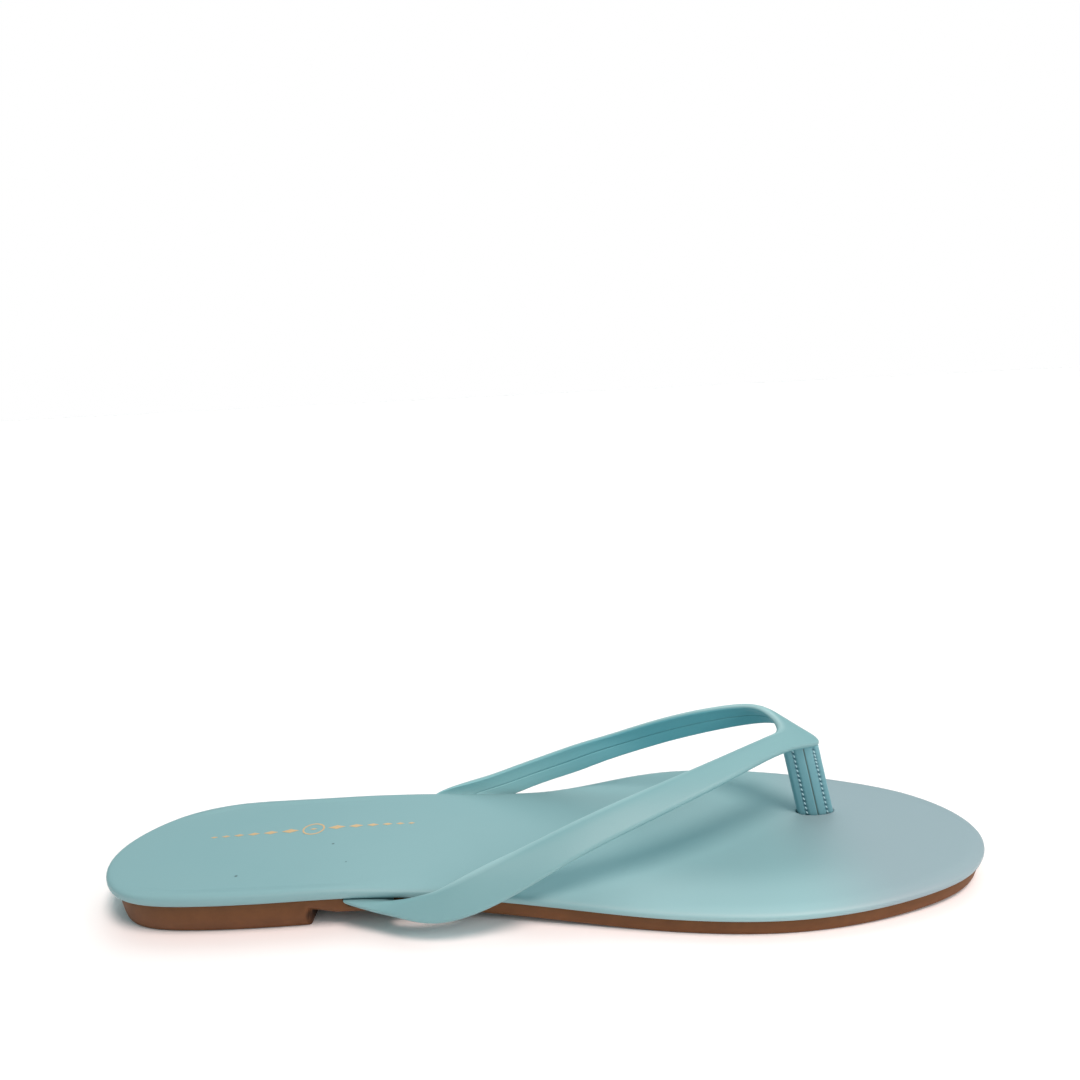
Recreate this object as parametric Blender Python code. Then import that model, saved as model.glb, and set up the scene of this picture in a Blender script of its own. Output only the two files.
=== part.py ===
"""Flat thong sandal for a right foot: outsole, padded footbed, V-shaped strap upper and toe post.

Sizes are in millimetres. Stations are measured from the back of the heel along the shoe, +Y is the
inner (big toe) side of the foot, and Z = 0 is the floor. The origin is on the floor, at the middle
of the shoe's length and width.
"""
import math

import bmesh
import bpy
import numpy as np

MM = 0.001
LENGTH = 256.0
SEAM_GAP = 0.3
SHARP_ANGLE = math.radians(40.0)

# Padded footbed, wrapped over its edge
FOOTBED_THICK = 4.1
FOOTBED_ROLL = 4.3
ROLL_STEPS = 8

# Height of the seam between footbed and outsole
HEEL_SEAM_HEIGHT = 8.1
BALL_SEAM_HEIGHT = 3.3
WAIST_START = 60.0
WAIST_END = 165.0
SPRING_START = 190.0
TOE_SPRING = 1.8

# Moulded outsole with a low heel
SOLE_INSET_TOP = 1.5
SOLE_INSET_BOTTOM = 1.9
HEEL_TAPER = 1.8
BREAST_FOOT = 61.0
BREAST_TOP = 64.5
WAIST_RISE = 4.5
SOLE_EDGE_CHAMFER = 0.5

# Outline of the footbed seen from above: how far its edge lies to each side at a station
OUTLINE = np.array([
    (0.0, -7.4, -7.4),
    (4.0, -20.7, 6.5),
    (12.0, -28.6, 15.9),
    (28.0, -32.5, 22.6),
    (60.0, -32.5, 24.0),
    (100.0, -31.5, 26.5),
    (130.0, -35.0, 29.9),
    (160.0, -40.6, 41.4),
    (185.0, -43.4, 43.4),
    (210.0, -41.4, 37.7),
    (230.0, -35.9, 28.3),
    (244.0, -29.0, 18.2),
    (252.0, -20.5, 7.6),
    (256.0, -7.2, -7.2),
], dtype=[("station", float), ("lateral", float), ("medial", float)])
OUTLINE_STEPS = 44

# Strap sections, from its end under the outer side over the toe post to its end under the inner side.
# The rim is the edge towards the ankle, the front is the edge towards the toes: station, y, z of each.
STRAP = np.array([
    ((68.0, -20.0, 8.0), (81.5, -19.0, 7.6)),
    ((73.0, -28.8, 7.7), (86.5, -28.1, 7.0)),
    ((78.0, -32.0, 7.6), (92.0, -34.0, 5.6)),
    ((83.5, -34.2, 8.2), (97.5, -38.3, 5.3)),
    ((89.7, -35.8, 10.4), (103.7, -39.8, 6.8)),
    ((107.0, -34.8, 16.9), (119.2, -38.8, 11.8)),
    ((124.2, -29.8, 22.2), (130.7, -36.3, 17.2)),
    ((141.8, -24.3, 27.5), (144.6, -31.6, 22.0)),
    ((168.0, -13.3, 32.4), (174.2, -19.8, 29.5)),
    ((190.0, -0.8, 34.9), (199.0, -4.3, 32.6)),
    ((201.3, 6.2, 36.2), (213.0, 6.2, 31.2)),
    ((200.0, 11.2, 39.6), (210.2, 14.8, 32.5)),
    ((192.6, 19.2, 39.8), (201.6, 23.2, 32.0)),
    ((171.0, 25.7, 34.5), (177.8, 28.2, 26.3)),
    ((151.2, 29.2, 27.8), (161.3, 31.2, 20.9)),
    ((130.8, 31.7, 20.6), (144.2, 33.7, 14.8)),
    ((109.9, 33.0, 13.2), (126.8, 34.7, 8.5)),
    ((94.0, 31.5, 9.2), (112.0, 34.4, 5.4)),
    ((85.5, 27.8, 7.8), (102.0, 30.5, 5.5)),
    ((79.0, 22.6, 7.7), (94.0, 23.2, 6.8)),
    ((73.0, 13.5, 8.0), (88.0, 14.5, 7.3)),
], dtype=[("rim", float, 3), ("front", float, 3)])
STRAP_THICK = 2.0
STRAP_EDGE = 0.8
STRAP_STEPS_PER_SECTION = 4

# Toe post: a folded strip standing between the first two toes, leaning back
POST_WIDTH = 10.0
POST_THICK = 3.4
POST_CORNER = 1.2
POST_CORNER_STEPS = 3
POST_FOOT = (214.0, 8.4, 7.4)
POST_HEAD = (207.2, 6.2, 34.0)
POST_HEAD_SLOPE = (-0.42, 0.45)


def smooth_step(value):
    value = np.clip(value, 0.0, 1.0)
    return value * value * (3.0 - 2.0 * value)


def spline(knots, values, at):
    """Natural cubic spline through the rows of values."""
    knots, values = np.asarray(knots, float), np.asarray(values, float)
    step = np.diff(knots)
    slope = np.diff(values, axis=0) / step[:, None]
    count = len(knots)
    system = np.eye(count)
    target = np.zeros_like(values)
    for row in range(1, count - 1):
        system[row, row - 1:row + 2] = step[row - 1], 2.0 * (step[row - 1] + step[row]), step[row]
        target[row] = 6.0 * (slope[row] - slope[row - 1])
    bend = np.linalg.solve(system, target)
    index = np.clip(np.searchsorted(knots, at) - 1, 0, count - 2)
    length = step[index][:, None]
    before = (np.asarray(at) - knots[index])[:, None]
    after = length - before
    cubic = (bend[index] * after ** 3 + bend[index + 1] * before ** 3) / (6.0 * length)
    left = (values[index] / length - bend[index] * length / 6.0) * after
    right = (values[index + 1] / length - bend[index + 1] * length / 6.0) * before
    return cubic + left + right


def seam_height(station):
    """Height of the seam between outsole and footbed."""
    fall = smooth_step((station - WAIST_START) / (WAIST_END - WAIST_START))
    spring = np.clip((station - SPRING_START) / (LENGTH - SPRING_START), 0.0, None) ** 2
    return HEEL_SEAM_HEIGHT + (BALL_SEAM_HEIGHT - HEEL_SEAM_HEIGHT) * fall + TOE_SPRING * spring


def ground_height(station):
    """Height of the outsole's underside: flat heel, arched waist, flat ball, toe spring."""
    arch = 1.0 - smooth_step((station - BREAST_TOP) / (WAIST_END - BREAST_TOP))
    breast = np.clip((station - BREAST_FOOT) / (BREAST_TOP - BREAST_FOOT), 0.0, 1.0)
    spring = np.clip((station - SPRING_START) / (LENGTH - SPRING_START), 0.0, None) ** 2
    return WAIST_RISE * arch * breast + TOE_SPRING * spring


def outline_loop():
    """Points of the outline and their outward normals, heel, outer side, toe, inner side."""
    angle = np.arccos(1.0 - 2.0 * OUTLINE["station"] / LENGTH)
    breast = np.arccos(1.0 - 2.0 * np.array((BREAST_FOOT, BREAST_TOP)) / LENGTH)
    steps = np.union1d(np.linspace(0.0, math.pi, OUTLINE_STEPS + 1), breast)
    sides = spline(angle, np.column_stack((OUTLINE["lateral"], OUTLINE["medial"])), steps)
    station = LENGTH / 2.0 * (1.0 - np.cos(steps))
    outer = np.column_stack((station, sides[:, 0]))
    inner = np.column_stack((station, sides[:, 1]))
    loop = np.concatenate((outer, inner[-2:0:-1]))
    along = np.roll(loop, -1, axis=0) - np.roll(loop, 1, axis=0)
    normal = np.column_stack((along[:, 1], -along[:, 0]))
    return loop, normal / np.linalg.norm(normal, axis=1)[:, None]


def new_object(name, bm):
    bmesh.ops.recalc_face_normals(bm, faces=bm.faces)
    mesh = bpy.data.meshes.new(name)
    bm.to_mesh(mesh)
    bm.free()
    mesh.shade_smooth()
    mesh.set_sharp_from_angle(angle=SHARP_ANGLE)
    obj = bpy.data.objects.new(name, mesh)
    bpy.context.scene.collection.objects.link(obj)
    return obj


def ring(bm, points):
    """A closed ring of vertices; points have a station, a y and a z."""
    place = np.asarray(points) * MM - np.array((LENGTH / 2.0 * MM, 0.0, 0.0))
    return [bm.verts.new(point) for point in place]


def join_rings(bm, rings):
    for low, high in zip(rings, rings[1:]):
        for i in range(len(low)):
            j = (i + 1) % len(low)
            bm.faces.new((low[i], low[j], high[j], high[i]))


def close_sole_ring(bm, loop):
    """Fill an outline ring with strips from the outer to the inner side."""
    half = len(loop) // 2
    for i in range(half):
        corners = [loop[i], loop[i + 1], loop[-i - 1], loop[-i]]
        bm.faces.new(dict.fromkeys(corners))


def build_outsole():
    loop, normal = outline_loop()
    station = loop[:, 0]
    heel = smooth_step((BREAST_TOP - station) / (BREAST_TOP - BREAST_FOOT))
    inset = (SOLE_INSET_BOTTOM + HEEL_TAPER * heel)[:, None]
    ground = ground_height(station)
    tread = loop - normal * (inset + SOLE_EDGE_CHAMFER)
    side = loop - normal * inset
    top = loop - normal * SOLE_INSET_TOP
    bm = bmesh.new()
    rings = [
        ring(bm, np.column_stack((tread, ground))),
        ring(bm, np.column_stack((side, ground + SOLE_EDGE_CHAMFER))),
        ring(bm, np.column_stack((top, seam_height(top[:, 0]) - SEAM_GAP / 2.0))),
    ]
    join_rings(bm, rings)
    close_sole_ring(bm, rings[0])
    close_sole_ring(bm, rings[-1])
    return new_object("outsole", bm)


def build_footbed():
    loop, normal = outline_loop()
    bm = bmesh.new()
    rings = []
    for turn in np.linspace(-math.pi / 2.0, math.pi / 2.0, ROLL_STEPS + 1):
        plan = loop - normal * FOOTBED_ROLL * (1.0 - math.cos(turn))
        rise = SEAM_GAP / 2.0 + (FOOTBED_THICK - SEAM_GAP / 2.0) * (1.0 + math.sin(turn)) / 2.0
        rings.append(ring(bm, np.column_stack((plan, seam_height(plan[:, 0]) + rise))))
    join_rings(bm, rings)
    close_sole_ring(bm, rings[0])
    close_sole_ring(bm, rings[-1])
    return new_object("footbed", bm)


def strap_edges():
    """Rim and front edge of the strap, as smooth curves through its sections."""
    middle = (STRAP["rim"] + STRAP["front"]) / 2.0
    chord = np.linalg.norm(np.diff(middle, axis=0), axis=1)
    knots = np.concatenate(((0.0,), np.cumsum(np.sqrt(chord))))
    steps = [np.linspace(a, b, STRAP_STEPS_PER_SECTION, endpoint=False) for a, b in zip(knots, knots[1:])]
    steps = np.concatenate(steps + [knots[-1:]])
    return spline(knots, STRAP["rim"], steps), spline(knots, STRAP["front"], steps)


def strap_solid(name, clearance):
    """The strap as a flat band with rounded edges, grown all round by a clearance."""
    rim, front = strap_edges()
    rim_along = np.gradient(rim, axis=0)
    front_along = np.gradient(front, axis=0)
    half = STRAP_THICK / 2.0 + clearance
    bm = bmesh.new()
    rings = []
    last = len(rim) - 1
    for i in range(last + 1):
        across = front[i] - rim[i]
        width = np.linalg.norm(across)
        across = across / width
        low, high = -clearance / width, 1.0 + clearance / width
        bevel = STRAP_EDGE / width
        diagonal = math.sqrt(0.5)
        shy = bevel * (1.0 - diagonal)
        profile = (
            (low, 0.0), (low + shy, diagonal), (low + bevel, 1.0), (0.5, 1.0),
            (high - bevel, 1.0), (high - shy, diagonal), (high, 0.0),
            (high - shy, -diagonal), (high - bevel, -1.0), (0.5, -1.0),
            (low + bevel, -1.0), (low + shy, -diagonal),
        )
        points = []
        for share, lift in profile:
            along = rim_along[i] + (front_along[i] - rim_along[i]) * np.clip(share, 0.0, 1.0)
            normal = np.cross(across, along)
            normal = normal / np.linalg.norm(normal)
            points.append(rim[i] + across * width * share + normal * half * lift)
        tangent = (rim_along[i] + front_along[i]) / np.linalg.norm(rim_along[i] + front_along[i])
        push = {0: -clearance, last: clearance}.get(i, 0.0)
        rings.append(ring(bm, np.array(points) + tangent * push))
    join_rings(bm, rings)
    bm.faces.new(rings[0])
    bm.faces.new(rings[-1])
    return new_object(name, bm)


def post_solid(name, clearance):
    """The toe post as a rounded strip whose foot is flat and whose head follows the strap."""
    half_width = POST_WIDTH / 2.0 + clearance
    half_thick = POST_THICK / 2.0 + clearance
    section = []
    for quarter, (side_x, side_y) in enumerate(((1, 1), (-1, 1), (-1, -1), (1, -1))):
        for turn in np.linspace(0.0, math.pi / 2.0, POST_CORNER_STEPS + 1) + quarter * math.pi / 2.0:
            section.append((
                side_x * (half_width - POST_CORNER) + POST_CORNER * math.cos(turn),
                side_y * (half_thick - POST_CORNER) + POST_CORNER * math.sin(turn),
            ))
    section = np.array(section)
    foot, head = np.array(POST_FOOT), np.array(POST_HEAD)
    lean = (head - foot) / (head[2] - foot[2])
    sole = seam_height(foot[0]) + SEAM_GAP / 2.0 - clearance
    bm = bmesh.new()
    rings = []
    for base, slope in ((sole, (0.0, 0.0)), (foot[2], (0.0, 0.0)), (head[2], POST_HEAD_SLOPE)):
        centre = foot + lean * (base - foot[2])
        rise = section @ np.array(slope)
        points = np.column_stack((centre[:2] + section, base + rise))
        points[:, :2] += np.outer(rise, lean[:2])
        rings.append(ring(bm, points))
    join_rings(bm, rings)
    bm.faces.new(rings[0])
    bm.faces.new(rings[-1])
    return new_object(name, bm)


def make_cutter(obj):
    obj.hide_render = True
    obj.display_type = "WIRE"
    return obj


def cut_away(obj, cutter):
    cut = obj.modifiers.new("room_for_" + cutter.name, "BOOLEAN")
    cut.operation = "DIFFERENCE"
    cut.solver = "EXACT"
    cut.object = cutter


def paint(obj, name, colour, roughness):
    material = bpy.data.materials.new(name)
    material.use_nodes = True
    shader = material.node_tree.nodes["Principled BSDF"]
    shader.inputs["Base Color"].default_value = (*colour, 1.0)
    shader.inputs["Roughness"].default_value = roughness
    shader.inputs["Metallic"].default_value = 0.0
    obj.data.materials.append(material)


def main():
    for obj in list(bpy.data.objects):
        bpy.data.objects.remove(obj)
    outsole = build_outsole()
    footbed = build_footbed()
    upper = strap_solid("upper", 0.0)
    toe_post = post_solid("toe_post", 0.0)
    strap_room = make_cutter(strap_solid("strap_room", SEAM_GAP))
    post_room = make_cutter(post_solid("post_room", SEAM_GAP))
    cut_away(outsole, strap_room)
    cut_away(footbed, strap_room)
    cut_away(footbed, post_room)
    cut_away(toe_post, strap_room)
    paint(outsole, "brown_rubber", (0.23, 0.085, 0.04), 0.6)
    paint(footbed, "turquoise_footbed", (0.30, 0.53, 0.56), 0.5)
    paint(upper, "turquoise_strap", (0.27, 0.50, 0.54), 0.45)
    paint(toe_post, "turquoise_post", (0.24, 0.47, 0.52), 0.5)


main()
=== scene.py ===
"""Looks of a flat thong sandal for a right foot: leatherette footbed and straps on a brown rubber sole.

Lengths are in millimetres until a piece is finished, and in metres for the lamps and the floor. Stations
run along the shoe from the back of the heel, y points to the inner (big toe) side of the foot, and z = 0
is the floor.
"""
import math

import bmesh
import bpy
import numpy as np
from mathutils import Matrix, Vector


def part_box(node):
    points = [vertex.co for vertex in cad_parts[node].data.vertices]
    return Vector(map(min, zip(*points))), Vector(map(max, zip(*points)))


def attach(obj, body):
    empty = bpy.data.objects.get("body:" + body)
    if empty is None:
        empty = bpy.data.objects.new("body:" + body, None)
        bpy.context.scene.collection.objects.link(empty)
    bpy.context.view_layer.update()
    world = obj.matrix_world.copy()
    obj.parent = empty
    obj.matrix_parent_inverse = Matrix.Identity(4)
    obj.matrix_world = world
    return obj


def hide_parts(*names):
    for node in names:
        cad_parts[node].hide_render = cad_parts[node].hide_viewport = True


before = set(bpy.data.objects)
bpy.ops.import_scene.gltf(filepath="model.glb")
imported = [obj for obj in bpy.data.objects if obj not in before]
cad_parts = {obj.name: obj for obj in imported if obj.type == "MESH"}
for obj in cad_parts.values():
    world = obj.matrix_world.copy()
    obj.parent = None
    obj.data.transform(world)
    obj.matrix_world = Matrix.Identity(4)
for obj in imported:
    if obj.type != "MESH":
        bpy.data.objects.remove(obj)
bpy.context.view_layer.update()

MM = 0.001
BODY = "root"
HEEL_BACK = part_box("footbed")[0].x / MM
LENGTH = 256.0
SEAM_GAP = 0.16
SHARP_ANGLE = math.radians(40.0)

# Camera, fitted to the outline of the shoe in the photograph: millimetres, degrees
CAMERA_PLACE = (5.7, -247.3, 143.5)
CAMERA_TURN = (79.96, 2.84, 0.05)
CAMERA_LENS = 29.1
CAMERA_SENSOR = 36.0
CAMERA_CLIP_START = 10.0

# Soft lamps: a slightly warm key above, in front and towards the toe, a cooler one above and behind, and a
# small one near the ball. The first two have a direction and a spread in degrees, the small one has a place
# and a size in metres, and each has a power and a colour. The surround adds an even light.
KEY_LIGHT = ((0.25, -0.36, 1.0), 22.0, 2.06, "#ffe5de")
BACK_LIGHT = ((0.05, 0.58, 0.75), 60.0, 0.85, "#e4ffff")
BALL_LAMP = ((0.25, -0.22, 0.20), 0.18, 0.43, "#fff6f4")
SKY_COLOUR = "#d7f8ff"
SKY_LIGHT = 0.44

# Half the side of the paper floor, in metres
FLOOR_HALF = 15.0

# Outline of the footbed seen from above: how far its edge lies to each side at a station
OUTLINE = np.array([
    (0.0, -7.4, -7.4),
    (4.0, -20.7, 6.5),
    (12.0, -28.6, 15.9),
    (28.0, -32.5, 22.6),
    (60.0, -32.5, 24.0),
    (100.0, -31.5, 26.5),
    (130.0, -35.0, 29.9),
    (160.0, -40.6, 41.4),
    (185.0, -43.4, 43.4),
    (210.0, -41.4, 37.7),
    (230.0, -35.9, 28.3),
    (244.0, -29.0, 18.2),
    (252.0, -20.5, 7.6),
    (256.0, -7.2, -7.2),
], dtype=[("station", float), ("lateral", float), ("medial", float)])
OUTLINE_STEPS = 96

# How close points must lie to be merged, in a grid and along the rings of a slab
MERGE_GRID = 1e-4
MERGE_SLAB = 1e-3

# Padded footbed, wrapped over its edge: tight round the heel, fuller round the ball
FOOTBED_THICK = 3.0
HEEL_ROLL = 1.9
HEEL_ROLL_POWER = 0.62
BALL_ROLL = 4.4
UNDER_ROLL = 1.4
UNDER_ROLL_POWER = 0.8
BACK_UNDER_ROLL = 1.3
ROLL_STEPS = 20
SLIT_SAG_HALF = 11.0

# Lines of the footbed's mesh: closer round the slits, and from side to side with more of them at the edges
SAG_BEFORE = 4.0
SAG_BEYOND = 14.0
SAG_STEP = 1.5
FOOTBED_COLUMNS = 28
FOOTBED_EDGE_SHARE = 0.12
FOOTBED_EDGE_COLUMNS = 10

# Low ridge along the edge of the heel, where the cover is drawn tight over the board
RIDGE_HEIGHT = 0.3
RIDGE_PLACE = 2.0
RIDGE_HALF = 1.2
RIDGE_FADE = (6.0, 24.0, 64.0, 84.0)

# Height of the seam between footbed and outsole
HEEL_SEAM_HEIGHT = 9.2
BALL_SEAM_HEIGHT = 4.4
WAIST_START = 60.0
WAIST_END = 165.0
SPRING_START = 190.0
TOE_SPRING = 1.8

# Moulded outsole with a low heel
SOLE_INSET_TOP = 1.5
SOLE_INSET_BACK = 1.5
BACK_REACH = 26.0
SOLE_INSET_BOTTOM = 1.9
HEEL_TAPER = 1.9
HEEL_TAPER_END = 72.0
HEEL_TAPER_FADE = 8.0
WALL_SHARES = (0.2, 0.4, 0.6, 0.75, 0.88)
WALL_POWER = 2.6
BREAST_FOOT = 63.3
BREAST_TOP = 64.1
BREAST_CORNER = 1.3
BREAST_STEP = 0.2
BREAST_MARGIN = 1.0
WAIST_RISE = 4.5
# Painted shade on the heel's breast and in the corner above it: how far forward it reaches, and its least
# and most share
BREAST_SHADE_REACH = 3.0
BREAST_SHADE_SHARES = (0.45, 0.97)
SOLE_EDGE_ROUND = 0.6
SOLE_EDGE_STEPS = 3

# Lines of the outsole's mesh from side to side, with more of them at the edges
SOLE_COLUMNS = 24
SOLE_EDGE_SHARE = 0.16
SOLE_EDGE_COLUMNS = 16

# Slits in the seam where the strap comes out: the side, 0 for outer and 1 for inner, first and last station,
# where and how far in the footbed sags over the strap, and how far the sole gives way
SLITS = np.array([
    (0, 72.2, 92.0, 90.0, 4.6, 3.0),
    (1, 89.4, 118.0, 100.0, 1.0, 2.4),
], dtype=[
    ("side", int), ("start", float), ("end", float),
    ("sag", float), ("sag_reach", float), ("dip", float),
])
SLIT_EASE = 2.6
SLIT_STEP = 0.75
SLIT_MARGIN = 1.5
SLIT_REACH = 10.0

# Strap sections, from its end under the outer side over the toe post to its end under the inner side.
# The rim is the edge towards the ankle, the front is the edge towards the toes: station, y, z of each.
STRAP = np.array([
    ((86.0, -25.0, 7.4), (75.6, -25.0, 8.1)),
    ((86.8, -29.0, 7.4), (73.8, -29.2, 8.2)),
    ((88.2, -31.6, 7.7), (73.4, -31.3, 8.5)),
    ((90.0, -32.7, 8.4), (76.6, -32.9, 8.0)),
    ((92.6, -33.6, 9.7), (82.0, -34.8, 7.3)),
    ((96.0, -34.5, 11.4), (88.2, -37.2, 7.0)),
    ((100.5, -35.2, 13.6), (96.0, -39.1, 6.1)),
    ((107.0, -34.8, 16.6), (105.0, -39.8, 7.0)),
    ((115.0, -32.8, 19.5), (117.0, -39.0, 11.1)),
    ((124.2, -29.8, 22.2), (130.7, -36.3, 17.2)),
    ((141.8, -24.3, 27.5), (144.6, -31.6, 22.0)),
    ((168.0, -13.3, 32.4), (174.2, -19.8, 29.5)),
    ((187.0, -2.9, 34.6), (193.6, -8.2, 32.7)),
    ((197.5, 3.4, 35.6), (206.4, 0.6, 32.3)),
    ((201.4, 6.8, 36.4), (213.9, 6.9, 30.8)),
    ((200.8, 10.2, 38.8), (211.2, 12.7, 31.8)),
    ((197.8, 14.4, 40.4), (206.9, 18.5, 32.6)),
    ((192.6, 19.2, 39.8), (201.6, 23.2, 32.0)),
    ((171.0, 25.7, 34.5), (177.8, 28.2, 26.3)),
    ((151.2, 29.2, 27.8), (161.2, 30.0, 21.4)),
    ((140.0, 29.3, 24.8), (149.5, 30.4, 17.8)),
    ((129.5, 29.3, 21.5), (140.0, 30.8, 14.4)),
    ((119.5, 29.1, 18.3), (131.5, 30.8, 11.9)),
    ((110.6, 28.7, 15.5), (125.0, 30.5, 9.9)),
    ((102.5, 28.4, 13.4), (120.0, 30.0, 8.2)),
    ((95.5, 28.0, 11.5), (116.6, 29.2, 7.0)),
    ((91.5, 27.2, 9.7), (114.6, 28.0, 6.3)),
    ((89.8, 25.6, 8.1), (113.4, 26.4, 5.9)),
    ((89.2, 22.5, 7.4), (112.5, 23.0, 5.6)),
    ((88.8, 18.5, 7.2), (112.0, 18.5, 5.4)),
], dtype=[("rim", float, 3), ("front", float, 3)])
STRAP_THICK = 2.0
STRAP_CROWN = 0.18
SKIVE_THICK = 0.5
SKIVE_LENGTH = 22.0
STRAP_RIM_BEND = 0.75
STRAP_RIM_REACH = 3.4
# Painted highlight along the rim: how far in it reaches, and how far round the edge it starts
RIM_HIGHLIGHT_REACH = 1.8
RIM_HIGHLIGHT_LIFT = 0.6
UNDERSIDE_FADE = (12.0, 80.0)
STRAP_STEPS_PER_SECTION = 12
STRAP_EDGE_STEPS = 6
STRAP_FACE_STEPS = 10
STRAP_SEAM_DEPTH = 0.3
STRAP_SEAM_HALF = 0.45
STRAP_SEAM_POWER = 1.5
STRAP_UNDERSIDE = (-2.6, -0.9, -0.45, -0.25, -0.1, 0.0, 0.1, 0.25, 0.45, 0.9, 2.6)

# Toe post: a folded strip standing between the first two toes, leaning back
POST_WIDTH = 11.0
POST_THICK = 2.5
POST_BULGE = 1.3
POST_CORNER = 1.2
POST_FOOT = np.array((213.6, 9.4, 7.4))
POST_HEAD = np.array((207.2, 6.2, 34.0))
POST_HEAD_SLOPE = np.array((-0.42, 0.45))
POST_SUNK = 1.6
POST_TOP = 33.3
POST_SLOPE_START = 22.0
POST_RINGS = 80
POST_FACE_STEPS = 30
POST_CORNER_STEPS = 5
POST_SEAM_DEPTH = 0.35
POST_SEAM_HALF = 0.26
POST_SEAM_OFFSET = 0.3
STITCH_ROWS = (-3.0, 3.4)
STITCH_PITCH = 1.66
STITCH_LENGTH = 1.12
STITCH_THICK = 0.5
STITCH_SLANT = 20.0
STITCH_BELOW_FOOT = 0.6
STITCH_BELOW_TOP = 0.4
STITCH_SUNK = 0.6
STITCH_VALLEY = 0.22
STITCH_VALLEY_HALF = 0.8
NEEDLE_HOLE = 0.5
NEEDLE_DRAW = 0.12

# Pocket in the footbed that the post stands in, and the pucker round it
POCKET_DEPTH = 2.2
POCKET_LIP = 0.7
POCKET_GAP = 0.2
POCKET_STEP = 0.35
POCKET_HALF_LENGTH = 9.0
POCKET_HALF_WIDTH = 6.0
PUCKER_DEPTH = 0.35
PUCKER_REACH = 4.5

# Finish of the footbed: where the cover turns greyer towards the toe, where painted light lies paler along
# the outer edge of the ball, and three specks of dirt: station, y and radius
TOE_GREY_START = 192.0
TOE_GREY_END = 226.0
EDGE_LIGHT_START = 132.0
EDGE_LIGHT_EASE = 30.0
EDGE_LIGHT_FULL = 8.0
EDGE_LIGHT_REACH = 24.0
SPECKS = ((41.5, -22.4, 0.62), (65.2, -6.8, 0.55), (71.3, -17.1, 0.4))
SPECK_CORE = 0.4
SPECK_SHADE = 0.8

# Sizes of the patterns in the finishes, and how far the gloss of the leatherette wanders
CLOUD_SIZE = 38.0
PORE_SPACING = 0.7
FINE_GRAIN = 0.5
GRAIN_DEPTH = 0.1
GLOSS_RANGE = (-0.06, 0.08)
MOTTLE_SIZE = 5.0
SKIN_GRAIN = 0.8
SKIN_DEPTH = 0.15

# Gold ornament stamped on the heel: a ring between two tapering rows of lozenges
FOIL_CENTRE = (57.0, 2.6)
FOIL_TURN = 4.8
FOIL_THICK = 0.05
FOIL_RING = 3.4
FOIL_RING_SIDES = 64
FOIL_RING_LINE = 0.55
FOIL_LOZENGES = 6
FOIL_FIRST = (5.2, 2.3)
FOIL_SHRINK = 0.84
FOIL_SPACE = 1.1


def smooth_step(value):
    """Eases from 0 to 1 while the value goes from 0 to 1."""
    value = np.clip(value, 0.0, 1.0)
    return value * value * (3.0 - 2.0 * value)


def spline(knots, values, at):
    """Natural cubic spline through the rows of values."""
    knots, values = np.asarray(knots, float), np.asarray(values, float)
    step = np.diff(knots)
    slope = np.diff(values, axis=0) / step[:, None]
    count = len(knots)
    system = np.eye(count)
    target = np.zeros_like(values)
    for row in range(1, count - 1):
        system[row, row - 1:row + 2] = step[row - 1], 2.0 * (step[row - 1] + step[row]), step[row]
        target[row] = 6.0 * (slope[row] - slope[row - 1])
    bend = np.linalg.solve(system, target)
    index = np.clip(np.searchsorted(knots, at) - 1, 0, count - 2)
    length = step[index][:, None]
    before = (np.asarray(at) - knots[index])[:, None]
    after = length - before
    cubic = (bend[index] * after ** 3 + bend[index + 1] * before ** 3) / (6.0 * length)
    left = (values[index] / length - bend[index] * length / 6.0) * after
    right = (values[index + 1] / length - bend[index + 1] * length / 6.0) * before
    return cubic + left + right


def waist_share(station):
    """0 at the heel, 1 at the ball, easing from one to the other along the waist."""
    return smooth_step((station - WAIST_START) / (WAIST_END - WAIST_START))


def toe_lift(station):
    """How far the toe springs up from the floor."""
    return TOE_SPRING * np.clip((station - SPRING_START) / (LENGTH - SPRING_START), 0.0, None) ** 2


def seam_height(station):
    """Height of the seam between outsole and footbed."""
    fall = (BALL_SEAM_HEIGHT - HEEL_SEAM_HEIGHT) * waist_share(station)
    return HEEL_SEAM_HEIGHT + fall + toe_lift(station)


def outline_sides(angle):
    """Width of the outline to each side; the angle runs from 0 at the heel to half a turn at the toe."""
    knots = np.arccos(1.0 - 2.0 * OUTLINE["station"] / LENGTH)
    return spline(knots, np.column_stack((OUTLINE["lateral"], OUTLINE["medial"])), angle)


def outline_edges(stations):
    """Points and outward normals of the outline at some stations: outer side first, then inner side."""
    angle = np.arccos(np.clip(1.0 - 2.0 * stations / LENGTH, -1.0, 1.0))
    small = 1e-4
    across = (outline_sides(angle + small) - outline_sides(angle - small)) / (2.0 * small)
    along = LENGTH / 2.0 * np.sin(angle)
    width = outline_sides(angle)
    points = np.array([np.column_stack((stations, width[:, side])) for side in (0, 1)])
    normals = np.array([
        np.column_stack((across[:, 0], -along)),
        np.column_stack((-across[:, 1], along)),
    ])
    return points, normals / np.linalg.norm(normals, axis=2)[:, :, None]


def edge_distance(station, y, side):
    """How far a point lies inside the outline, measured straight across the shoe."""
    edge = np.interp(station, OUTLINE["station"], OUTLINE[("lateral", "medial")[side]])
    return edge - y if side else y - edge


def inside_edge(station, y):
    """How far a point lies inside the outline, measured to the nearer side."""
    return np.minimum(edge_distance(station, y, 0), edge_distance(station, y, 1))


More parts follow.
